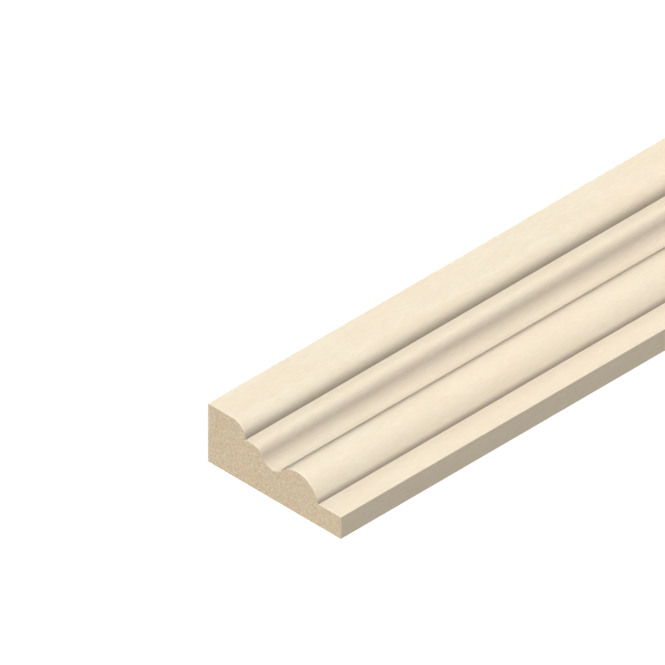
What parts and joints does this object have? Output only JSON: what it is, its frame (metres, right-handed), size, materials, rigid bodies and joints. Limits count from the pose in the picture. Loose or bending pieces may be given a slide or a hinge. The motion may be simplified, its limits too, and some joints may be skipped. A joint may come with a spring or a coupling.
{
  "type": "barrel moulding",
  "caption": "Length of pale hardwood barrel moulding with an ovolo, a cove and a barrel round cut into its face, square-cut at both ends.",
  "frame": {"origin": "Centre of the flat back, which is the underside as it lies, halfway along the length", "axes": "+Z out of the back towards the moulded face, +Y along the length, +X across the section from the thick edge to the thin edge"},
  "size_m": [0.021, 2.4, 0.008],
  "materials": {
    "pale_hardwood": "planed and sanded, bare"
  },
  "bodies": {
    "root": {"barrel_moulding": "pale_hardwood"}
  },
  "joints": []
}
